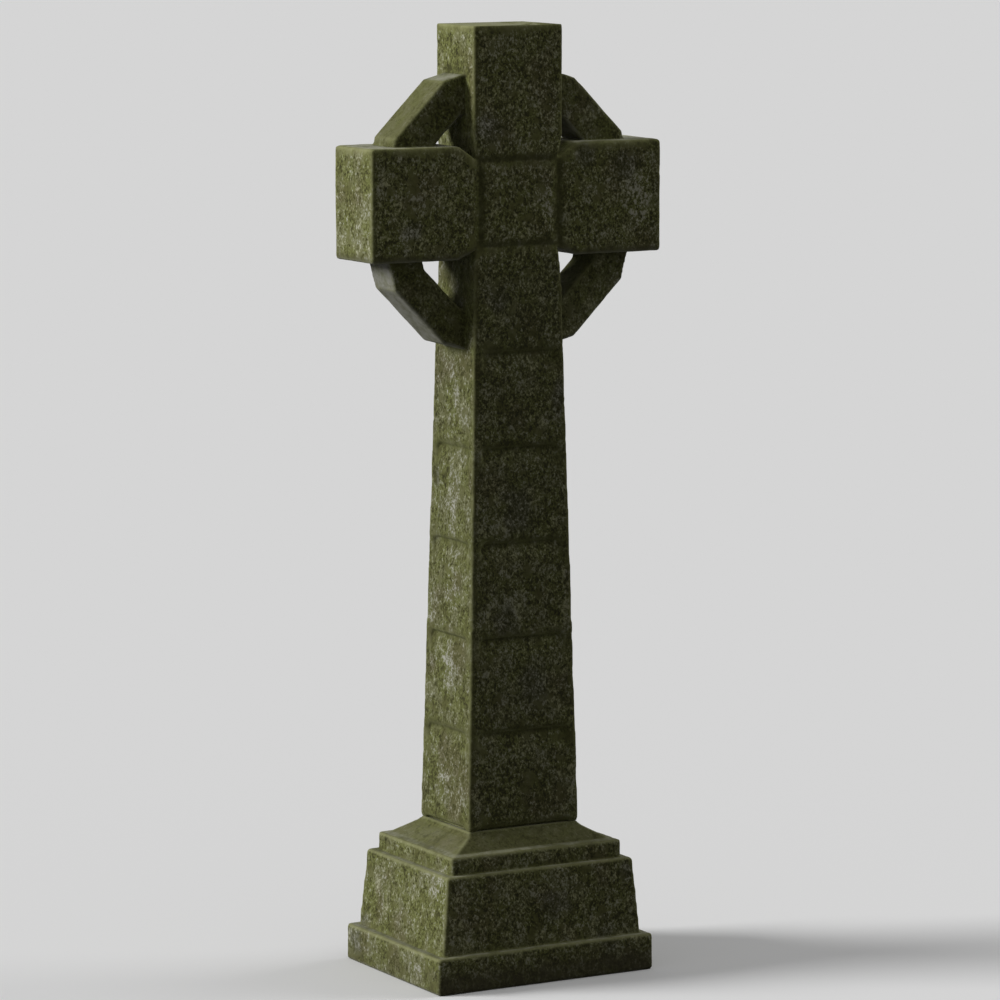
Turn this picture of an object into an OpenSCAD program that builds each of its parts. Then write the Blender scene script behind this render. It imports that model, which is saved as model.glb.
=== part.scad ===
// Ringed cross memorial: a carved stone cross on a stepped stone plinth.
// X runs along the arms, -Y is the front, Z is up, and the origin is the centre of the underside.

/* [Plinth] */
// Width of the bottom step, along the arms
step_w = 618; // [580:1:900]
// Depth of the bottom step
step_d = 487; // [450:1:800]
// Height of the bottom step
step_h = 90; // [50:1:160]
// Width of the battered block at its foot
die_foot_w = 570; // [535:1:578]
// Depth of the battered block at its foot
die_foot_d = 444; // [428:1:450]
// Width of the battered block at its top
die_top_w = 532; // [490:1:568]
// Depth of the battered block at its top
die_top_d = 426; // [390:1:443]
// Height of the battered block
die_h = 197; // [120:1:300]
// Width of the cap course
cap_w = 488; // [420:1:530]
// Depth of the cap course
cap_d = 388; // [340:1:424]
// Height of the upright edge of the cap course
cap_h = 44; // [25:1:80]
// Width of the ledge round the top of the cap course
ledge_w = 22; // [10:1:40]
// Fall of that ledge, which sheds water
ledge_fall = 4; // [1:1:8]
// Height of the sloped weathering from the cap's edge to the foot of the shaft
weathering_h = 49; // [40:1:90]
// Radius of the hollow where the weathering meets the shaft
cove_r = 16; // [8:1:24]

/* [Shaft] */
// Width of the shaft at its foot
shaft_foot_w = 314; // [270:1:350]
// Depth of the shaft at its foot
shaft_foot_d = 252; // [210:1:280]
// Width of the shaft at its neck, below the crossing
shaft_neck_w = 243; // [228:1:265]
// Height from the plinth to the underside of the arms
shaft_h = 1445; // [1250:1:1900]

/* [Head] */
// Depth of the arms, the crossing and the top of the shaft
head_d = 191; // [160:1:205]
// Tip to tip span of the arms
arm_span = 824; // [780:1:1000]
// Height of the arms
arm_h = 277; // [230:1:330]
// Width of the upper arm
upper_w = 249; // [228:1:290]
// Height of the upper arm above the other arms
upper_h = 298; // [255:1:400]
// Width of the crossing block between the arms
crossing_w = 226; // [190:1:228]
// Length over which the side arms narrow to the crossing
arm_neck_l = 56; // [30:1:80]
// How far the side arms narrow at their top edge
arm_neck_top = 38; // [15:1:50]
// How far the side arms narrow at their bottom edge
arm_neck_bottom = 25; // [10:1:40]
// Length over which the upper arm and the shaft narrow to the crossing
upright_neck_l = 65; // [30:1:90]
// Width of the V seam around the crossing, on the front and the back
seam_w = 44; // [16:1:60]
// Depth of that V seam
seam_depth = 5; // [4:1:20]

/* [Ring] */
// Radius of the ring to its outer corners
ring_r = 374; // [350:1:385]
// Width of the ring's bars across the face, measured corner to corner
ring_bar = 92; // [60:1:120]
// Depth of the ring from front to back
ring_d = 107; // [60:1:140]
// How far the ring's centre lies below the middle of the arms
ring_drop = 26; // [0:1:40]
// Number of straight sides that the whole ring would have
ring_sides = 12; // [8:4:12]

/* [Shaft courses] */
// Height of one course
course_h = 240; // [160:1:400]
// Height of the lowest course line above the foot of the shaft
first_course = 11; // [6:1:40]
// Depth of the cut under each course
course_depth = 11; // [4:1:20]
// Height of the slope below each course line
course_slope_h = 52; // [20:1:100]
// Width of the plain strip left at each corner of the shaft
corner_strip = 19; // [10:1:40]
// Radius of the upper corners of each cut
course_corner_r = 20; // [6:1:30]

/* [Hidden] */

cap_z = step_h + die_h;
foot_z = cap_z + cap_h + weathering_h;
arm_z = foot_z + shaft_h;
top_z = arm_z + arm_h + upper_h;
crossing_z0 = arm_z + arm_neck_bottom;
crossing_z1 = arm_z + arm_h - arm_neck_top;
neck_z = crossing_z0 - upright_neck_l;
ring_z = arm_z + arm_h / 2 - ring_drop;
seam_half = seam_w / 2;
seam_floor_d = head_d - 2 * seam_depth;
cut_reach = 2 * course_depth;
// Course lines run up to the neck on the front and the back, and up to the ring on the sides
face_courses = 1 + floor((neck_z - foot_z - first_course) / course_h);
side_courses = 1 + floor((min(neck_z, ring_z - ring_r) - foot_z - first_course) / course_h);

stone_green = [0.34, 0.36, 0.23];
plinth_green = [0.31, 0.34, 0.21];

// Width and depth of the shaft at the height z
function shaft_w(z) = shaft_foot_w + (shaft_neck_w - shaft_foot_w) * (z - foot_z) / (neck_z - foot_z);
function shaft_d(z) = shaft_foot_d + (head_d - shaft_foot_d) * (z - foot_z) / (arm_z - foot_z);

// Both halves of an outline, from the right half's points listed from the bottom up
function mirrored(half) =
    concat(half, [for (i = [len(half) - 1 : -1 : 0]) [-half[i][0], half[i][1]]]);

// Right half of a straight batter between two widths
function batter(foot, top, z0, z1) = [[foot / 2, z0], [top / 2, z1]];

// Right half of the weathering: the ledge, the slope and the hollow at the foot of the shaft
function weathering(cap, foot, z0) =
    concat(
        [[cap / 2, z0], [cap / 2 - ledge_w, z0 + ledge_fall]],
        [for (a = [60 : -15 : 0])
            [foot / 2 + cove_r * (1 - cos(a)), z0 + weathering_h - cove_r * sin(a)]]
    );

// A block with one outline seen from the front and another seen from the side
module block(front, side) {
    intersection() {
        rotate([90, 0, 0])
            linear_extrude(2 * step_d, center = true)
                polygon(mirrored(front));
        rotate([90, 0, 90])
            linear_extrude(2 * step_w, center = true)
                polygon(mirrored(side));
    }
}

// The tapered shaft, which narrows to the crossing at its top
module shaft() {
    block(
        [[shaft_foot_w / 2, foot_z], [shaft_neck_w / 2, neck_z], [crossing_w / 2, crossing_z0]],
        [[shaft_foot_d / 2, foot_z], [head_d / 2, arm_z],
         [head_d / 2, crossing_z0 - seam_half], [seam_floor_d / 2, crossing_z0]]
    );
}

// Outline of the cut under one course, seen square on: a strip with rounded upper corners
function cut_outline(width, z) =
    let (x = width / 2, r = course_corner_r)
    concat(
        [[-x, z - course_slope_h], [x, z - course_slope_h]],
        [for (a = [0 : 15 : 90]) [x - r + r * cos(a), z - r + r * sin(a)]],
        [for (a = [90 : 15 : 180]) [-x + r + r * cos(a), z - r + r * sin(a)]]
    );

// The cut under one course, in the face that lies reach out at its line and reach_below at its foot
module course_cut(z, face_w, reach, reach_below) {
    out = -reach_below - cut_reach;
    low = z - course_slope_h;
    intersection() {
        rotate([90, 0, 90])
            linear_extrude(face_w, center = true)
                polygon([[-reach + course_depth, z], [-reach_below, low], [out, low], [out, z]]);
        rotate([90, 0, 0])
            linear_extrude(-out)
                polygon(cut_outline(face_w - 2 * corner_strip, z));
    }
}

// All the course cuts on the four faces of the shaft
module course_cuts() {
    for (i = [0 : face_courses - 1]) {
        z = foot_z + first_course + i * course_h;
        below = z - course_slope_h;
        for (turn = [0, 180])
            rotate(turn)
                course_cut(z, shaft_w(z), shaft_d(z) / 2, shaft_d(below) / 2);
        if (i < side_courses)
            for (turn = [90, 270])
                rotate(turn)
                    course_cut(z, shaft_d(z), shaft_w(z) / 2, shaft_w(below) / 2);
    }
}

// The block in the middle of the crossing, with its front and back edges splayed into the seams
module crossing() {
    intersection() {
        translate([0, 0, crossing_z0])
            linear_extrude(crossing_z1 - crossing_z0)
                polygon(mirrored([
                    [crossing_w / 2 - seam_half, -head_d / 2], [crossing_w / 2, -seam_floor_d / 2],
                    [crossing_w / 2, seam_floor_d / 2], [crossing_w / 2 - seam_half, head_d / 2]
                ]));
        block(
            batter(crossing_w, crossing_w, crossing_z0, crossing_z1),
            [[seam_floor_d / 2, crossing_z0], [head_d / 2, crossing_z0 + seam_half],
             [head_d / 2, crossing_z1 - seam_half], [seam_floor_d / 2, crossing_z1]]
        );
    }
}

// One side arm, from the crossing to its tip
module side_arm() {
    inner = crossing_w / 2;
    tip = arm_span / 2;
    top = arm_z + arm_h;
    intersection() {
        rotate([90, 0, 0])
            linear_extrude(head_d, center = true)
                polygon([
                    [inner, crossing_z0], [inner + arm_neck_l, arm_z], [tip, arm_z],
                    [tip, top], [inner + arm_neck_l, top], [inner, crossing_z1]
                ]);
        translate([0, 0, arm_z])
            linear_extrude(arm_h)
                polygon([
                    [inner, -seam_floor_d / 2], [inner + seam_half, -head_d / 2], [tip, -head_d / 2],
                    [tip, head_d / 2], [inner + seam_half, head_d / 2], [inner, seam_floor_d / 2]
                ]);
    }
}

// The upper arm, which narrows to the crossing at its foot
module upper_arm() {
    block(
        [[crossing_w / 2, crossing_z1], [upper_w / 2, crossing_z1 + upright_neck_l], [upper_w / 2, top_z]],
        [[seam_floor_d / 2, crossing_z1], [head_d / 2, crossing_z1 + seam_half], [head_d / 2, top_z]]
    );
}

// The straight-sided ring, which runs through the four arms
module ring() {
    translate([0, 0, ring_z])
        rotate([90, 0, 0])
            linear_extrude(ring_d, center = true)
                difference() {
                    circle(ring_r, $fn = ring_sides);
                    circle(ring_r - ring_bar, $fn = ring_sides);
                }
}

// The cross: one stone, with its ring
module cross() {
    color(stone_green) {
        difference() {
            shaft();
            course_cuts();
        }
        crossing();
        side_arm();
        mirror([1, 0, 0])
            side_arm();
        upper_arm();
        ring();
    }
}

// The plinth: a step, a battered block and a cap course, cut in one stone
module plinth() {
    color(plinth_green) {
        translate([-step_w / 2, -step_d / 2, 0])
            cube([step_w, step_d, step_h]);
        block(
            batter(die_foot_w, die_top_w, step_h, cap_z),
            batter(die_foot_d, die_top_d, step_h, cap_z)
        );
        translate([-cap_w / 2, -cap_d / 2, cap_z])
            cube([cap_w, cap_d, cap_h]);
        block(
            weathering(cap_w, shaft_foot_w, cap_z + cap_h),
            weathering(cap_d, shaft_foot_d, cap_z + cap_h)
        );
    }
}

cross();
plinth();
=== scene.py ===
"""Looks of the ringed cross memorial: worn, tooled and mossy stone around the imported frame."""

import math

import bmesh
import bpy
import numpy as np
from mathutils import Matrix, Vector
from mathutils.bvhtree import BVHTree
from mathutils.kdtree import KDTree


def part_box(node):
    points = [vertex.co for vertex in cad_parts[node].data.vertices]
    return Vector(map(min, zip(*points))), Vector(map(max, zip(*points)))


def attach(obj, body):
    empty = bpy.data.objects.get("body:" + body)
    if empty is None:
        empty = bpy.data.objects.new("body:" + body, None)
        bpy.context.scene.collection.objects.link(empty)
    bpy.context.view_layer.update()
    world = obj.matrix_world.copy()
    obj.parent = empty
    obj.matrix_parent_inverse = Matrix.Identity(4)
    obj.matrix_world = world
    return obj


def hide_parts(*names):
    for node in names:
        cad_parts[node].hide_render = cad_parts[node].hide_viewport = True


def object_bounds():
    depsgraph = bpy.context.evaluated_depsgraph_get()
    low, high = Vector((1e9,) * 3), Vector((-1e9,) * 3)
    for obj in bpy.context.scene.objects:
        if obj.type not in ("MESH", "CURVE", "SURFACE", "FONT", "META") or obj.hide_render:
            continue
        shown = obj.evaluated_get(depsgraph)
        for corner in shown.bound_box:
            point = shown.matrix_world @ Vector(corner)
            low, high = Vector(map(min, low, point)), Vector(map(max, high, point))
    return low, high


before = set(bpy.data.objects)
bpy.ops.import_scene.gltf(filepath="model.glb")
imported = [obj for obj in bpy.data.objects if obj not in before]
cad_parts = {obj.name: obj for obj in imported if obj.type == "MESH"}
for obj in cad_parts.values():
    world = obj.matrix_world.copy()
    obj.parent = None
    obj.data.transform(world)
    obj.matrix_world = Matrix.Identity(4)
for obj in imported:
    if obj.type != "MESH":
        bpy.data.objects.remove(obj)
CAD_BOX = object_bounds()

MM = 0.001

# Meshes
VOXEL = 3.6 * MM
MOST_TRIANGLES = 192000
EDGE_SAMPLE = 4 * MM
SHARP_EDGE = math.radians(13)
SHALLOW_EDGE = math.radians(40)
LONG_EDGE = 100 * MM
WELD = 0.01 * MM
UPRIGHT_EDGE = 0.8

# Faces that stand straighter than this are tooled, the ring's only in part
DRESSED_LIMIT = 0.97
RING_ROUGH = 0.30

# The surface: an even swell all over, a crooked outline, and the height of each kind of relief
SWELL = 3.2 * MM
WARP = (0.9 * MM, 0.9 * MM, 0.8 * MM)
TOOLING = 0.7 * MM
PITS = 1.1 * MM
GENTLE = 0.45 * MM
BROAD = 0.7 * MM
NICKS = 1.1 * MM

# Parts of the cross, as in the CAD
HEAD_HEIGHT = 575 * MM
NECK_HEIGHT = 40 * MM
RING_DEPTH = 107 * MM
RING_RADIUS = 374 * MM
RING_BAR = 92 * MM
RING_BELOW_TOP = 462 * MM
RING_SIDES = 12

# How far the weather has rounded each kind of arris, from 0 to 1
WEAR_HEAD = 0.18
WEAR_HEAD_UPRIGHT = 0.08
WEAR_PLINTH = 0.12
WEAR_SHAFT = 0.08
WEAR_RING = 0.04
WEAR_COURSE = 0.40
WEAR_SHALLOW = 0.0
ROUNDING_STEPS = 30

# How far up or down a face looks before its edges count as a top or a bottom
LEVEL_FACE = 0.6

# How much dirt and painted shade darken each kind of hollow, from 0 to 1
SEAM_DIRT_AND_SHADE = 0.88
COURSE_DIRT_AND_SHADE = 0.60
SIDE_COURSE_DIRT_AND_SHADE = 0.40
UPRIGHT_DIRT_AND_SHADE = 0.08
JOINT_DIRT_AND_SHADE = 0.12

# Patches of lichen: the middle, the radius, and how much taller than wide the patch is
SLATE_PATCHES = (
    ((-0.090, -0.096, 2.150), 0.050, 1.0),
    ((-0.300, -0.096, 1.900), 0.032, 1.0),
    ((0.310, -0.096, 2.040), 0.045, 1.2),
    ((-0.055, -0.098, 1.720), 0.035, 1.0),
    ((-0.010, -0.109, 1.180), 0.050, 1.5),
    ((0.115, -0.103, 1.470), 0.025, 2.0),
    ((-0.050, -0.115, 0.910), 0.040, 1.4),
    ((0.030, -0.118, 0.740), 0.050, 1.3),
    ((0.040, -0.215, 0.190), 0.050, 0.9),
)
PALE_PATCHES = (
    ((-0.100, -0.096, 2.150), 0.030, 1.0),
    ((-0.315, -0.096, 1.890), 0.026, 0.9),
    ((0.350, -0.096, 1.965), 0.050, 1.6),
    ((0.080, -0.096, 1.955), 0.026, 2.2),
    ((-0.280, -0.215, 0.290), 0.034, 0.9),
    ((-0.274, -0.165, 0.262), 0.058, 1.2),
    ((-0.335, -0.020, 1.790), 0.050, 1.2),
    ((-0.300, -0.120, 0.050), 0.036, 0.7),
    ((-0.137, -0.005, 1.185), 0.038, 2.3),
    ((-0.142, -0.010, 0.985), 0.036, 2.2),
    ((-0.146, 0.000, 0.790), 0.040, 2.0),
    ((-0.129, 0.000, 1.475), 0.034, 2.2),
    ((-0.155, 0.010, 0.480), 0.038, 1.6),
)

# The stone's tone on the shaft and on the head
SHAFT_TONE = (0.86, 0.86, 0.86)
HEAD_TONE = (1.12, 1.12, 1.12)

# The tone of the faces that look to the front and the back, against that of the sides: painted shade on
# those faces, with darker stone as well.
# It was set by measure, and may hold some shade as well as darker stone.
FRONT_BACK_SHADE_TONE = (0.605, 0.60, 0.535)

# Camera, as seen from the middle of the object
CAMERA_AZIMUTH = math.radians(-29.62)
CAMERA_ELEVATION = math.radians(7.90)
CAMERA_DISTANCE = 12.833
CAMERA_LENS = 182.6
CAMERA_SENSOR = 36.0
AIM_DROP = 1 * MM
AIM_RIGHT = 2 * MM


# ---------------------------------------------------------------- noise in numpy

def lattice_noise(points, size, seed):
    """Smooth noise, from about -1 to 1, whose bumps are about size metres across."""
    table = np.random.default_rng(seed).normal(size=(4096, 3))
    table /= np.linalg.norm(table, axis=1)[:, None]
    cell = points / size
    corner = np.floor(cell).astype(np.int64)
    step = cell - corner
    ease = step ** 3 * (step * (step * 6 - 15) + 10)
    total = np.zeros(len(points))
    for dx in (0, 1):
        for dy in (0, 1):
            for dz in (0, 1):
                offset = np.array([dx, dy, dz])
                at = corner + offset
                key = (at[:, 0] * 73856093) ^ (at[:, 1] * 19349663) ^ (at[:, 2] * 83492791)
                slope = np.einsum("ij,ij->i", table[(key >> 3) & 4095], step - offset)
                share = np.where(offset, ease, 1 - ease).prod(axis=1)
                total += slope * share
    return total * 1.6


def layered_noise(points, size, seed, layers=3, falloff=0.5):
    """Several noises on top of each other, each half as large as the one before."""
    total = np.zeros(len(points))
    for i in range(layers):
        total += lattice_noise(points, size / 2 ** i, seed + 101 * i) * falloff ** i
    return total


def smoothstep(low, high, values):
    """0 below low, 1 above high, and a smooth rise between them."""
    t = np.clip((values - low) / (high - low), 0, 1)
    return t * t * (3 - 2 * t)


# ---------------------------------------------------------------- mesh in numpy

def coordinates(mesh):
    co = np.empty(len(mesh.vertices) * 3)
    mesh.vertices.foreach_get("co", co)
    return co.reshape(-1, 3)


def set_coordinates(mesh, points):
    mesh.vertices.foreach_set("co", points.astype(np.float32).ravel())
    mesh.update()


def normals(mesh):
    mesh.update()
    no = np.empty(len(mesh.vertices) * 3)
    mesh.vertex_normals.foreach_get("vector", no)
    return no.reshape(-1, 3)


class Neighbours:
    """The mesh's edges, for averages over each vertex's neighbours."""

    def __init__(self, mesh):
        ends = np.empty(len(mesh.edges) * 2, np.int64)
        mesh.edges.foreach_get("vertices", ends)
        self.a = ends[0::2]
        self.b = ends[1::2]
        self.size = len(mesh.vertices)
        self.count = np.maximum(1, np.bincount(ends, minlength=self.size))

    def mean(self, values):
        if values.ndim == 2:
            return np.stack([self.mean(values[:, i]) for i in range(values.shape[1])], axis=1)
        total = np.bincount(self.a, values[self.b], self.size)
        total += np.bincount(self.b, values[self.a], self.size)
        return total / self.count

    def blurred(self, values, times):
        for _ in range(times):
            values = (values + self.mean(values)) / 2
        return values

    def relaxed(self, points, weight, times):
        """The points pulled towards their neighbours, each by its own weight."""
        for _ in range(times):
            points = points + (self.mean(points) - points) * weight[:, None]
        return points


def arris_wear(node_name, middle, along, angle):
    """How far the weather has rounded an arris, from 0 to 1."""
    if abs(angle) < SHALLOW_EDGE:
        return WEAR_SHALLOW
    if node_name == "plinth":
        return WEAR_PLINTH
    if abs(abs(middle.y) - RING_DEPTH / 2) < 1 * MM:
        return WEAR_RING
    upright = abs(along.z) > UPRIGHT_EDGE
    if middle.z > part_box("cross")[1].z - HEAD_HEIGHT - 1 * MM:
        return WEAR_HEAD_UPRIGHT if upright else WEAR_HEAD
    return WEAR_SHAFT if upright else WEAR_COURSE


def arris_level(edge):
    """1 for the arris of a top, -1 for that of a bottom, and 0 for any other."""
    slopes = [face.normal.z for face in edge.link_faces]
    return float(max(slopes) > LEVEL_FACE) - float(min(slopes) < -LEVEL_FACE)


def hollow_dirt_and_shade(node_name, middle, along):
    """How much dirt and painted shade darken an inner corner, from 0 to 1."""
    if node_name == "plinth":
        return JOINT_DIRT_AND_SHADE
    if middle.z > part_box("cross")[1].z - HEAD_HEIGHT - NECK_HEIGHT:
        return SEAM_DIRT_AND_SHADE if abs(middle.y) > RING_DEPTH / 2 + 10 * MM else JOINT_DIRT_AND_SHADE
    if abs(along.z) > 0.3:
        return UPRIGHT_DIRT_AND_SHADE
    return COURSE_DIRT_AND_SHADE if abs(middle.x) < abs(middle.y) + 15 * MM else SIDE_COURSE_DIRT_AND_SHADE


class Samples:
    """Points along edges, each with values of its edge's own."""

    def __init__(self):
        self.points = []
        self.values = []

    def add(self, edge, *values):
        start, end = edge.verts[0].co, edge.verts[1].co
        parts = max(1, math.ceil((end - start).length / EDGE_SAMPLE))
        for i in range(parts):
            self.points.append(start.lerp(end, (i + 0.5) / parts))
            self.values.append(values)

    def balance(self):
        self.tree = KDTree(len(self.points))
        for i, point in enumerate(self.points):
            self.tree.insert(point, i)
        self.tree.balance()
        self.values = np.array(self.values, float)

    def nearest(self, points):
        """How far the nearest sample is from each point, and that sample's values."""
        found = [self.tree.find(p)[1:] for p in points]
        distance = np.array([d for _, d in found])
        return distance, self.values[np.array([i for i, _ in found])]


class Features:
    """The faces and sharp edges of a CAD node, which tell where a point of its surface lies."""

    def __init__(self, node, node_name):
        solid = bmesh.new()
        solid.from_mesh(node.data)
        bmesh.ops.remove_doubles(solid, verts=solid.verts, dist=WELD)
        solid.normal_update()
        self.faces = BVHTree.FromBMesh(solid)
        self.face_normals = np.array([f.normal for f in solid.faces])
        self.arrises = Samples()
        self.hollows = Samples()
        self.upright = Samples()
        for edge in solid.edges:
            if len(edge.link_faces) == 2:
                self.take(edge, node_name)
        for samples in (self.arrises, self.hollows, self.upright):
            samples.balance()
        solid.free()

    def take(self, edge, node_name):
        angle = edge.calc_face_angle_signed(0)
        if abs(angle) < SHARP_EDGE:
            return
        start, end = edge.verts[0].co, edge.verts[1].co
        middle = (start + end) / 2
        along = (end - start).normalized()
        if angle < 0:
            in_seam = abs(angle) < SHALLOW_EDGE and node_name == "cross"
            self.hollows.add(edge, hollow_dirt_and_shade(node_name, middle, along), in_seam)
            return
        wear = arris_wear(node_name, middle, along, angle)
        level = arris_level(edge)
        rim = node_name == "plinth" and level > 0
        self.arrises.add(edge, wear, level if wear == WEAR_HEAD else 0, rim)
        if abs(along.z) > UPRIGHT_EDGE and angle > SHALLOW_EDGE and edge.calc_length() > LONG_EDGE:
            self.upright.add(edge)

    def normals(self, points):
        """The normal of the CAD face that each point lies on."""
        return self.face_normals[np.array([self.faces.find_nearest(p)[2] for p in points])]


def remeshed(node, name):
    """A fine, even copy of a CAD node's surface."""
    mesh = node.data.copy()
    piece = bpy.data.objects.new(name, mesh)
    bpy.context.scene.collection.objects.link(piece)
    modifier = piece.modifiers.new("Remesh", "REMESH")
    modifier.mode = "VOXEL"
    modifier.voxel_size = VOXEL
    apply_modifiers(piece)
    return piece


def apply_modifiers(piece):
    graph = bpy.context.evaluated_depsgraph_get()
    made = bpy.data.meshes.new_from_object(piece.evaluated_get(graph))
    piece.modifiers.clear()
    old = piece.data
    piece.data = made
    bpy.data.meshes.remove(old)
    made.name = piece.name


def thinned(piece):
    """The same surface with few enough triangles, more of them where it bends."""
    piece.data.calc_loop_triangles()
    modifier = piece.modifiers.new("Decimate", "DECIMATE")
    modifier.ratio = min(1.0, MOST_TRIANGLES / len(piece.data.loop_triangles))
    apply_modifiers(piece)


def rough_share(face_normals, points):
    """1 on the tooled upright faces, 0 on slopes, ledges, grooves and the ring's narrow sides."""
    upright = np.abs(face_normals[:, :2]).max(axis=1)
    on_ring = np.abs(np.abs(points[:, 1]) - RING_DEPTH / 2) < 4 * MM
    on_ring &= np.abs(face_normals[:, 1]) > 0.9
    return (upright > DRESSED_LIMIT) * np.where(on_ring, RING_ROUGH, 1.0)


def weathered(node_name, piece_name, seed):
    """A worn and tooled stone that stands for a CAD node."""
    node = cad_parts[node_name]
    features = Features(node, node_name)
    piece = remeshed(node, piece_name)
    mesh = piece.data
    near = Neighbours(mesh)
    points = coordinates(mesh)
    low = points[:, 2].min()
    high = points[:, 2].max()
    outer, edges = features.arrises.nearest(points)
    rough = rough_share(features.normals(points), points)
    free = 1 - held_share(points)

    # Take the voxels' steps off everything, and round the arrises as far as each is worn
    points = near.relaxed(points, 0.5 * free, 2)
    wear = near.blurred(edges[:, 0], 6) * (0.85 + 0.35 * lattice_noise(points, 0.10, seed + 61))
    wear = np.clip(wear * (1 - 0.5 * smoothstep(-60 * MM, -45 * MM, points[:, 2] - high)), 0, 1)
    share = 1 - smoothstep(4 * MM, (10 + 24 * wear) * MM, outer)
    points = near.relaxed(points, 0.5 * wear * share * free, ROUNDING_STEPS)

    # Leave the outline a little crooked, as handwork is
    warp = np.stack([layered_noise(points, 0.26, seed + i, 2) for i in (1, 2, 3)], axis=1)
    points = points + warp * free[:, None] * np.array(WARP)

    # Tool the faces, and knock nicks into the arrises
    set_coordinates(mesh, points)
    out = near.blurred(normals(mesh), 2)
    out /= np.linalg.norm(out, axis=1)[:, None]
    rough = near.blurred(rough, 4) * smoothstep(3 * MM, 12 * MM, outer)
    stretched = points * np.array([1, 1, 0.75])
    tooled = TOOLING * layered_noise(stretched, 0.016, seed + 11, 2, 0.8)
    pits = -PITS * smoothstep(0.42, 0.75, lattice_noise(stretched, 0.012, seed + 41))
    gentle = GENTLE * layered_noise(points, 0.035, seed + 21, 3)
    broad = BROAD * layered_noise(points, 0.13, seed + 31, 2)
    height = SWELL + broad + rough * (tooled + pits) + (1 - rough) * gentle
    nicks = smoothstep(0.35, 0.75, layered_noise(points, 0.07, seed + 51, 3, 0.6))
    height -= NICKS * nicks * (1 - smoothstep(2 * MM, 12 * MM, outer))
    points = points + out * (height * free)[:, None]
    points[:, 2] = np.clip(points[:, 2], low, high)
    set_coordinates(mesh, points)

    thinned(piece)
    paint_zones(piece, features, seed)
    for polygon in piece.data.polygons:
        polygon.use_smooth = True
    return piece


def held_share(points):
    """1 where the stone keeps the CAD surface: on the ground and where the two stones meet."""
    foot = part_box("cross")[0].z
    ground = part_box("plinth")[0].z
    near_foot = 1 - smoothstep(3 * MM, 9 * MM, np.abs(points[:, 2] - foot))
    on_ground = 1 - smoothstep(1 * MM, 6 * MM, np.abs(points[:, 2] - ground))
    return np.maximum(near_foot, on_ground)


def head_lift_share(points):
    """1 on the head, 0 on the darker shaft, and between the two on the plinth."""
    foot, top = (corner.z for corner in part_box("cross"))
    neck = top - HEAD_HEIGHT
    on_head = smoothstep(neck - NECK_HEIGHT, neck + NECK_HEIGHT, points[:, 2])
    on_plinth = 1 - smoothstep(foot - 10 * MM, foot + 60 * MM, points[:, 2])
    return on_head + 0.5 * on_plinth


def ring_shares(points, face_normals):
    """1 on the ring, and 1 on the sides of the blocks that its openings show."""
    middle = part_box("cross")[1].z - RING_BELOW_TOP
    radius = np.hypot(points[:, 0], points[:, 2] - middle)
    deep = 1 - smoothstep(RING_DEPTH / 2, RING_DEPTH / 2 + 8 * MM, np.abs(points[:, 1]))
    least = (RING_RADIUS - RING_BAR) * math.cos(math.pi / RING_SIDES)
    ring = deep * (radius > least - 3 * MM) * (radius < RING_RADIUS + 6 * MM)
    within = smoothstep(0.3, 0.7, 1 - np.abs(face_normals[:, 1])) * (radius < least)
    return ring, within


def ledge_share(piece, face_normals, ring):
    """1 on the plinth's ledges and weathering, and on the outside of the ring's upper bars."""
    if piece.name.startswith("plinth"):
        return smoothstep(0.3, 0.6, face_normals[:, 2])
    sloping = smoothstep(0.2, 0.4, face_normals[:, 2]) * (1 - smoothstep(0.8, 0.95, face_normals[:, 2]))
    return ring * sloping


def patches(points, places, seed):
    """1 in the middle of each patch, and 0 outside its ragged edge."""
    ragged = 0.30 * layered_noise(points, 0.030, seed, 3, 0.7)
    value = np.zeros(len(points))
    for middle, radius, stretch in places:
        offset = (points - np.array(middle)) / np.array([radius, radius, radius * stretch])
        distance = np.linalg.norm(offset, axis=1) + ragged
        value = np.maximum(value, 1 - smoothstep(0.45, 1.15, distance))
    return value


def random_patches(points, seed, count, radius):
    """Patches on the sides that the listed ones leave bare."""
    draw = np.random.default_rng(seed)
    hidden = points[(points[:, 1] > 0.05) | (points[:, 0] > 0.12)]
    middles = hidden[draw.integers(0, len(hidden), count)]
    sizes = radius * draw.uniform(0.6, 1.4, count)
    stretches = draw.uniform(0.9, 2.2, count)
    return list(zip(middles, sizes, stretches))


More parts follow.
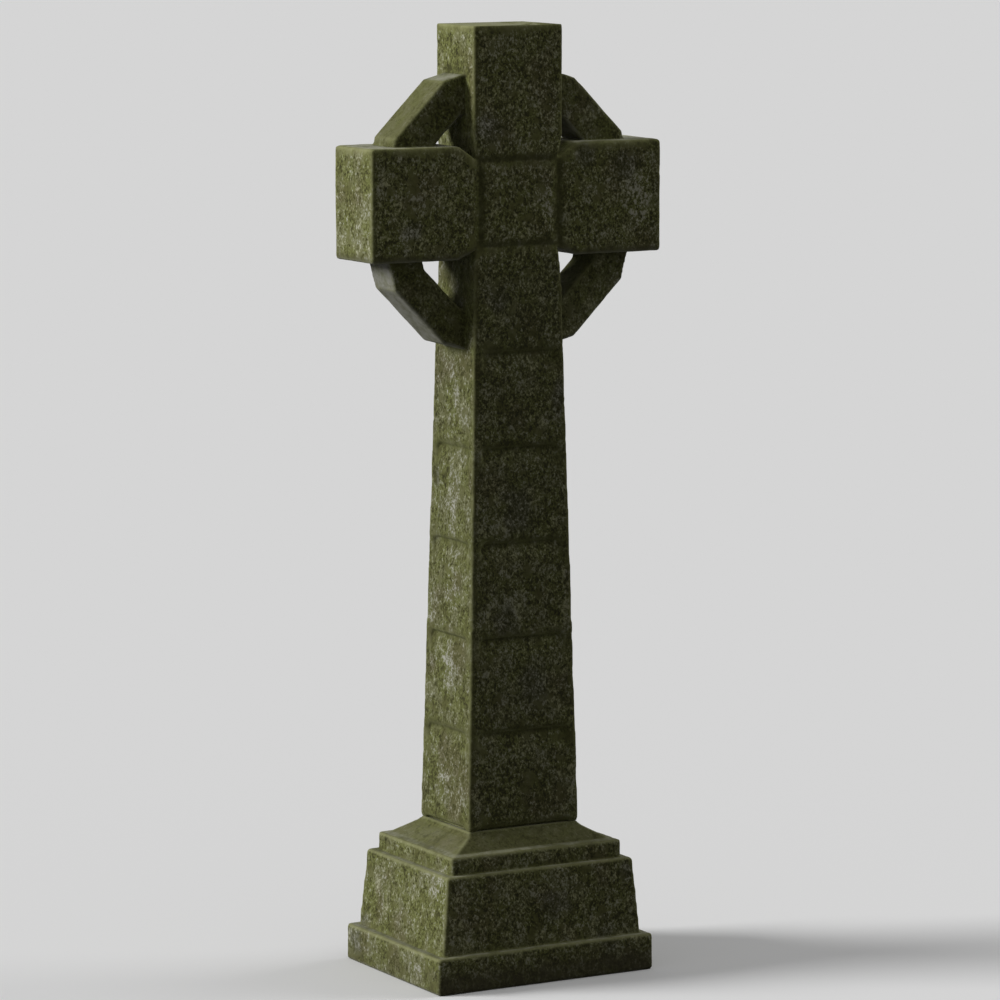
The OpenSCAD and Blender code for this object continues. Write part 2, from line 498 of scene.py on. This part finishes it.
def paint_zones(piece, features, seed):
    """Values from 0 to 1 on the vertices, which the stone's material reads."""
    mesh = piece.data
    near = Neighbours(mesh)
    points = coordinates(mesh)
    outer, edges = features.arrises.nearest(points)
    rim, level = edges[:, 2], edges[:, 1]
    inner, corners = features.hollows.nearest(points)
    dirt_and_shade, in_seam = corners.T
    upright = features.upright.nearest(points)[0]
    face_normals = features.normals(points)
    out = near.blurred(normals(mesh), 2)
    ragged = 1 + 0.45 * layered_noise(points, 0.022, seed + 83, 2)
    sideways = np.abs(face_normals[:, 0])
    ring, within = ring_shares(points, face_normals)
    underside = np.clip(-out[:, 2], 0, 1) * smoothstep(10 * MM, 40 * MM, inner)
    margin = smoothstep(2 * MM, 7 * MM, upright * ragged) * smoothstep(6 * MM, 24 * MM, inner * ragged)
    # Painted shade: in the seams, the walls that face left or down, away from the light from the upper
    # right, take the most dark
    shaded_seam_walls = np.clip(-4 * np.minimum(face_normals[:, 0], face_normals[:, 2]), 0, 1)
    dirt_and_shade = dirt_and_shade * np.where(in_seam > 0, 0.12 + 0.88 * shaded_seam_walls, 1.0)
    dirt_and_shade_reach = (17 + 9 * in_seam + 8 * sideways) * MM
    slate = list(SLATE_PATCHES) + random_patches(points, seed + 71, 14, 28 * MM)
    pale = list(PALE_PATCHES) + random_patches(points, seed + 72, 18, 20 * MM)
    values = {
        "edge": np.clip(upright * ragged / (40 * MM), 0, 1),
        "worn": 1 - smoothstep(1 * MM, 8 * MM, outer * ragged),
        "rim": near.blurred(rim, 1) * (1 - smoothstep(1 * MM, 6 * MM, outer)),
        # Dirt with painted shade in the grooves, seams and joints
        "dirt_and_shade": near.blurred(dirt_and_shade, 1) * (1 - smoothstep(8 * MM, dirt_and_shade_reach, inner)),
        # A painted highlight in light moss along the arrises of the tops, and painted shade along those of
        # the bottoms
        "crest_moss_highlight": near.blurred(np.clip(level, 0, 1), 3) * (1 - smoothstep(8 * MM, 24 * MM, outer * ragged)),
        "foot": near.blurred(np.clip(-level, 0, 1), 3) * (1 - smoothstep(6 * MM, 20 * MM, outer * ragged)),
        # Darker towards the bottom
        "low_darkening": 1 - smoothstep(26 * MM, 80 * MM, points[:, 2] + 24 * MM * (ragged - 1)),
        "ledge": ledge_share(piece, face_normals, ring),
        "hollow": 1 - smoothstep(4 * MM, 45 * MM, inner),
        "rough": near.blurred(rough_share(face_normals, points) * (1 - 0.7 * within), 2) * margin,
        "upward": np.clip(out[:, 2], 0, 1),
        "downward": np.maximum(underside, ring * smoothstep(0.1, 0.25, -face_normals[:, 2])),
        "facing": near.blurred(np.abs(face_normals[:, 1]), 4),
        "head_lift": head_lift_share(points) * (1 - 0.8 * ring),
        "slate": patches(points, slate, seed + 81),
        "pale": patches(points, pale, seed + 82),
    }
    for key, value in values.items():
        layer = mesh.attributes.new(key, "FLOAT", "POINT")
        layer.data.foreach_set("value", value.astype(np.float32))


# ---------------------------------------------------------------- material

class Graph:
    """Makes and links shader nodes."""

    def __init__(self, name):
        self.material = bpy.data.materials.new(name)
        self.material.use_nodes = True
        self.tree = self.material.node_tree
        self.tree.nodes.clear()

    def node(self, kind, **settings):
        made = self.tree.nodes.new("ShaderNode" + kind)
        for key, value in settings.items():
            setattr(made, key, value)
        return made

    def feed(self, socket, value):
        if isinstance(value, bpy.types.NodeSocket):
            self.tree.links.new(value, socket)
        elif isinstance(value, tuple) and len(value) == 3 and socket.type == "RGBA":
            socket.default_value = (*value, 1)
        else:
            socket.default_value = value

    def math(self, operation, a, b=0.0, clamp=False):
        made = self.node("Math", operation=operation, use_clamp=clamp)
        self.feed(made.inputs[0], a)
        self.feed(made.inputs[1], b)
        return made.outputs[0]

    def times(self, first, *others):
        for other in others:
            first = self.math("MULTIPLY", first, other)
        return first

    def plus(self, first, *others):
        for other in others:
            first = self.math("ADD", first, other)
        return first

    def less(self, value):
        """1 minus the value."""
        return self.math("SUBTRACT", 1.0, value, clamp=True)

    def ramp(self, value, low, high, to_low=0.0, to_high=1.0):
        made = self.node("MapRange", interpolation_type="SMOOTHSTEP")
        for socket, item in zip(made.inputs, (value, low, high, to_low, to_high)):
            self.feed(socket, item)
        return made.outputs[0]

    def mix(self, share, a, b, blend="MIX"):
        made = self.node("Mix", data_type="RGBA", blend_type=blend)
        self.feed(made.inputs[0], share)
        self.feed(made.inputs[6], a)
        self.feed(made.inputs[7], b)
        return made.outputs[2]

    def scaled(self, vector, factors):
        made = self.node("Mapping", vector_type="POINT")
        self.feed(made.inputs["Vector"], vector)
        made.inputs["Scale"].default_value = factors
        return made.outputs[0]

    def noise(self, vector, size, detail=2.0, roughness=0.5, distortion=0.0):
        made = self.node("TexNoise")
        self.feed(made.inputs["Vector"], vector)
        made.inputs["Scale"].default_value = 1 / size
        made.inputs["Detail"].default_value = detail
        made.inputs["Roughness"].default_value = roughness
        made.inputs["Distortion"].default_value = distortion
        return made.outputs[0]

    def attribute(self, name):
        return self.node("Attribute", attribute_name=name).outputs["Fac"]


def toned(tone, *colour):
    return tuple(channel * tone for channel in colour)


def mossy_stone(name, tone):
    """Olive, weathered stone with pale flecks, moss in its hollows and patches of lichen."""
    g = Graph(name)
    where = g.node("TexCoord").outputs["Object"]
    upright = g.scaled(where, (1, 1, 0.78))
    turned = g.scaled(where, (1.1, 1.1, 0.9))
    edge, worn, rim, dirt_and_shade, crest_moss_highlight, foot, low_darkening, ledge, hollow, rough = (
        g.attribute(key) for key in (
            "edge", "worn", "rim", "dirt_and_shade", "crest_moss_highlight", "foot", "low_darkening", "ledge", "hollow", "rough",
        )
    )
    upward, downward, facing, head_lift, slate, pale = (
        g.attribute(key) for key in ("upward", "downward", "facing", "head_lift", "slate", "pale")
    )
    dot = toned(tone, 0.030, 0.030, 0.009)
    dark = toned(tone, 0.066, 0.066, 0.019)
    middle = toned(tone, 0.142, 0.144, 0.066)
    cream = toned(tone, 0.37, 0.37, 0.225)
    ash = toned(tone, 0.35, 0.35, 0.285)
    flat_olive = toned(tone, 0.100, 0.099, 0.034)
    moss = toned(tone, 0.135, 0.146, 0.043)
    light_moss = toned(tone, 0.205, 0.21, 0.088)
    grey = toned(tone, 0.25, 0.248, 0.212)
    bleached_sheen_tone = toned(tone, 0.42, 0.42, 0.33)
    brown = toned(tone, 0.100, 0.085, 0.042)
    brown_black = toned(tone, 0.048, 0.045, 0.024)
    slate_tone = toned(tone, 0.112, 0.109, 0.088)
    lichen_tone = toned(tone, 0.41, 0.405, 0.35)

    clouds = g.noise(where, 0.17, 3, 0.55)
    blotches = g.noise(where, 0.045, 4, 0.6)
    grit = g.noise(upright, 0.0050, 2, 0.6, 0.5)
    coarse = g.noise(turned, 0.0120, 2, 0.6, 0.6)
    clumps = g.noise(where, 0.024, 3, 0.6)
    clusters = g.noise(turned, 0.055, 4, 0.62)
    bare = g.noise(where, 0.036, 2, 0.5)

    # How coarse the surface is: least on the margins, the dressed faces and a few bare patches
    bare_patch = g.ramp(bare, 0.60, 0.67)
    busy = g.plus(g.times(rough, 0.40), 0.60)
    busy = g.times(busy, g.less(g.times(bare_patch, 0.7)))
    busy = g.times(busy, g.less(g.times(crest_moss_highlight, 0.45)), g.less(g.times(foot, 0.6)))
    busy = g.times(busy, g.less(g.times(ledge, 0.15)), g.plus(g.times(facing, 0.40), 0.84))

    # Dark gaps, olive ground and pale flecks, as the tooling leaves them
    tooled = g.plus(g.times(grit, 0.60), g.times(coarse, 0.46), -0.03)
    tooled = g.plus(g.times(g.math("SUBTRACT", tooled, 0.5), busy), 0.5)
    drift = g.plus(g.times(clumps, 0.30), g.times(clusters, 0.24))
    drift = g.plus(drift, g.times(clouds, 0.12), g.times(pale, 0.055))
    level = g.math("SUBTRACT", g.plus(tooled, drift), 0.335)
    ground = g.mix(g.ramp(clusters, 0.42, 0.60), moss, middle)
    brownish = g.ramp(g.noise(turned, 0.12, 3), 0.52, 0.66, 0, 0.6)
    ground = g.mix(brownish, ground, brown)
    ground = g.mix(g.times(slate, 0.7), ground, slate_tone)
    colour = g.mix(g.ramp(level, 0.35, 0.44), dot, dark)
    colour = g.mix(g.ramp(level, 0.415, 0.52), colour, ground)
    fleck_tone = g.mix(g.ramp(blotches, 0.40, 0.56, g.less(g.plus(facing, 0.7)), 1.0), cream, ash)
    fleck_tone = g.mix(g.times(slate, 0.8), fleck_tone, ash)
    fleck_tone = g.mix(g.times(pale, 0.9), fleck_tone, lichen_tone)
    colour = g.mix(g.times(g.ramp(level, 0.53, 0.66), 0.92), colour, fleck_tone)
    colour = g.mix(g.times(bare_patch, 0.5), colour, flat_olive)

    # Smooth, ragged margins along the upright arrises, painted lighter in light moss on the sides and
    # darker on the front and back as light and shade, and a paler line inside them
    in_margin = g.times(g.ramp(edge, 0.30, 0.08), g.ramp(blotches, 0.30, 0.52, 0.1, 0.9))
    margin_lit_shaded_tone = g.mix(facing, light_moss, g.mix(0.5, dark, flat_olive))
    colour = g.mix(g.times(in_margin, g.plus(g.times(facing, 0.45), 0.35)), colour, margin_lit_shaded_tone)
    inside = g.times(g.ramp(edge, 0.30, 0.40), g.ramp(edge, 0.80, 0.60), g.ramp(level, 0.48, 0.56), facing)
    colour = g.mix(g.times(inside, 0.20), colour, fleck_tone)

    # Moss in the hollows and in soft patches
    mossy = g.plus(g.times(hollow, 0.25), g.ramp(blotches, 0.53, 0.68, 0, 0.45))
    mossy = g.math("SUBTRACT", mossy, g.plus(g.times(downward, 0.8), g.times(pale, 0.3)), clamp=True)
    colour = g.mix(g.times(mossy, 0.55), colour, g.mix(g.ramp(level, 0.44, 0.58), dark, moss))

    # Bare grey undersides, bleached tops with a painted sheen, a painted highlight in light moss along the
    # margins above the blocks, and painted shade along those below them
    bare_below = g.times(g.ramp(downward, 0.1, 0.8), g.ramp(clumps, 0.36, 0.60, 0.5, 0.92))
    colour = g.mix(bare_below, colour, grey)
    # Paler tops: bleached stone with a painted sheen
    top_bleach_and_sheen = g.times(g.ramp(upward, 0.85, 0.98), g.ramp(clusters, 0.35, 0.60, 0.2, 0.7))
    colour = g.mix(top_bleach_and_sheen, colour, bleached_sheen_tone)
    ledge_tone = g.mix(0.7, middle, flat_olive)
    colour = g.mix(g.times(ledge, g.ramp(clumps, 0.35, 0.60, 0.25, 0.60)), colour, ledge_tone)
    colour = g.mix(g.times(crest_moss_highlight, g.ramp(blotches, 0.35, 0.60, 0.15, 0.6)), colour, light_moss)
    # Painted shade along the arrises under the blocks
    colour = g.mix(g.times(foot, 0.45), colour, brown_black)
    # Darker towards the bottom, most on the front and the back
    low_darkened = g.times(low_darkening, g.ramp(blotches, 0.35, 0.60, 0.95, 0.65), g.plus(g.times(facing, 0.7), 0.3))
    colour = g.mix(low_darkened, colour, g.mix(0.25, brown_black, brown))

    # Paler rims on the plinth's upper arrises, worn arrises, and dirt with painted shade in the grooves
    colour = g.mix(g.times(rim, 0.45), colour, g.mix(0.3, light_moss, cream))
    rubbed = g.times(worn, g.less(facing), g.ramp(blotches, 0.35, 0.65, 0.2, 0.6))
    colour = g.mix(rubbed, colour, g.mix(0.25, light_moss, cream))
    colour = g.mix(dirt_and_shade, colour, g.mix(facing, g.mix(0.35, dark, moss), g.mix(0.35, dot, dark)))

    # Lighter on the head than on the shaft, and painted shade that darkens the front and the back
    shade = g.mix(head_lift, SHAFT_TONE, HEAD_TONE)
    shade = g.mix(facing, shade, g.mix(1.0, shade, FRONT_BACK_SHADE_TONE, "MULTIPLY"))
    colour = g.mix(1.0, colour, shade, "MULTIPLY")

    shader = g.node("BsdfPrincipled")
    g.feed(shader.inputs["Base Color"], colour)
    g.feed(shader.inputs["Roughness"], g.ramp(level, 0.40, 0.65, 0.97, 0.82))
    shader.inputs["Specular IOR Level"].default_value = 0.22
    bump = g.node("Bump")
    bump.inputs["Strength"].default_value = 0.6
    bump.inputs["Distance"].default_value = 3.0 * MM
    g.feed(bump.inputs["Height"], tooled)
    g.feed(shader.inputs["Normal"], bump.outputs[0])
    out = g.node("OutputMaterial")
    g.feed(out.inputs["Surface"], shader.outputs[0])
    return g.material


# ---------------------------------------------------------------- pieces

def stone(node_name, piece_name, seed, tone):
    piece = weathered(node_name, piece_name, seed)
    piece.data.materials.clear()
    piece.data.materials.append(mossy_stone(piece_name, tone))
    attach(piece, "root")
    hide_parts(node_name)


stone("cross", "cross_body", 7, 1.0)
stone("plinth", "plinth_body", 57, 0.96)


# ---------------------------------------------------------------- floor, light and camera

FLOOR_SIZE = 400.0
FLOOR_SEEN = 0.85
FLOOR_BOUNCE = 0.12
WORLD_LEVEL = 0.24
# Each lamp's azimuth, elevation, level and width across, with the angles in degrees
SUNS = {
    "key": (-113, 22, 1.05, 22),
    "fill": (80, 35, 0.26, 30),
}
# What an open floor shows, so that the floor and the sky meet without a line
FLOOR_LIGHT = WORLD_LEVEL + sum(s[2] * math.sin(math.radians(s[1])) for s in SUNS.values())
WORLD_SEEN = FLOOR_SEEN * FLOOR_LIGHT


def camera_mix(tree, seen, unseen):
    """The level that the camera or a reflection sees, and the other one for the light given."""
    path = tree.nodes.new("ShaderNodeLightPath")
    either = tree.nodes.new("ShaderNodeMath")
    either.operation = "MAXIMUM"
    tree.links.new(path.outputs["Is Camera Ray"], either.inputs[0])
    tree.links.new(path.outputs["Is Glossy Ray"], either.inputs[1])
    mix = tree.nodes.new("ShaderNodeMix")
    mix.data_type = "RGBA"
    tree.links.new(either.outputs[0], mix.inputs[0])
    mix.inputs[6].default_value = (unseen, unseen, unseen, 1)
    mix.inputs[7].default_value = (seen, seen, seen, 1)
    return mix.outputs[2]


def make_floor():
    half = FLOOR_SIZE / 2
    corners = [(-half, -half, 0), (half, -half, 0), (half, half, 0), (-half, half, 0)]
    mesh = bpy.data.meshes.new("floor")
    mesh.from_pydata(corners, [], [(0, 1, 2, 3)])
    floor = bpy.data.objects.new("floor", mesh)
    bpy.context.scene.collection.objects.link(floor)
    g = Graph("floor")
    shader = g.node("BsdfDiffuse")
    g.feed(shader.inputs["Color"], camera_mix(g.tree, FLOOR_SEEN, FLOOR_BOUNCE))
    out = g.node("OutputMaterial")
    g.feed(out.inputs["Surface"], shader.outputs[0])
    mesh.materials.append(g.material)


def make_world():
    world = bpy.data.worlds.new("world")
    bpy.context.scene.world = world
    world.use_nodes = True
    background = world.node_tree.nodes["Background"]
    colour = camera_mix(world.node_tree, WORLD_SEEN, WORLD_LEVEL)
    world.node_tree.links.new(colour, background.inputs["Color"])
    background.inputs["Strength"].default_value = 1.0


def make_sun(name, azimuth, elevation, level, angle):
    """A soft, far lamp. Level 1 lights a white surface that faces it to full white."""
    lamp = bpy.data.lights.new(name, "SUN")
    lamp.energy = level * math.pi
    lamp.angle = math.radians(angle)
    sun = bpy.data.objects.new(name, lamp)
    bpy.context.scene.collection.objects.link(sun)
    sun.rotation_mode = "QUATERNION"
    shining = -towards(math.radians(azimuth), math.radians(elevation))
    sun.rotation_quaternion = shining.to_track_quat("-Z", "Y")


def towards(azimuth, elevation):
    """The direction from the object to a viewer; azimuth 0 is the front and 90 the right."""
    return Vector((
        math.sin(azimuth) * math.cos(elevation),
        -math.cos(azimuth) * math.cos(elevation),
        math.sin(elevation),
    ))


def make_camera():
    low, high = CAD_BOX
    right = Vector((math.cos(CAMERA_AZIMUTH), math.sin(CAMERA_AZIMUTH), 0))
    aim = (low + high) / 2 - Vector((0, 0, AIM_DROP)) + right * AIM_RIGHT
    back = towards(CAMERA_AZIMUTH, CAMERA_ELEVATION)
    data = bpy.data.cameras.new("camera")
    data.lens = CAMERA_LENS
    data.sensor_width = CAMERA_SENSOR
    camera = bpy.data.objects.new("camera", data)
    bpy.context.scene.collection.objects.link(camera)
    camera.location = aim + back * CAMERA_DISTANCE
    camera.rotation_mode = "QUATERNION"
    camera.rotation_quaternion = (-back).to_track_quat("-Z", "Y")
    data.clip_end = 2 * FLOOR_SIZE
    bpy.context.scene.camera = camera


make_floor()
make_world()
for sun_name, sun in SUNS.items():
    make_sun(sun_name, *sun)
make_camera()
bpy.context.scene.view_settings.view_transform = "Standard"
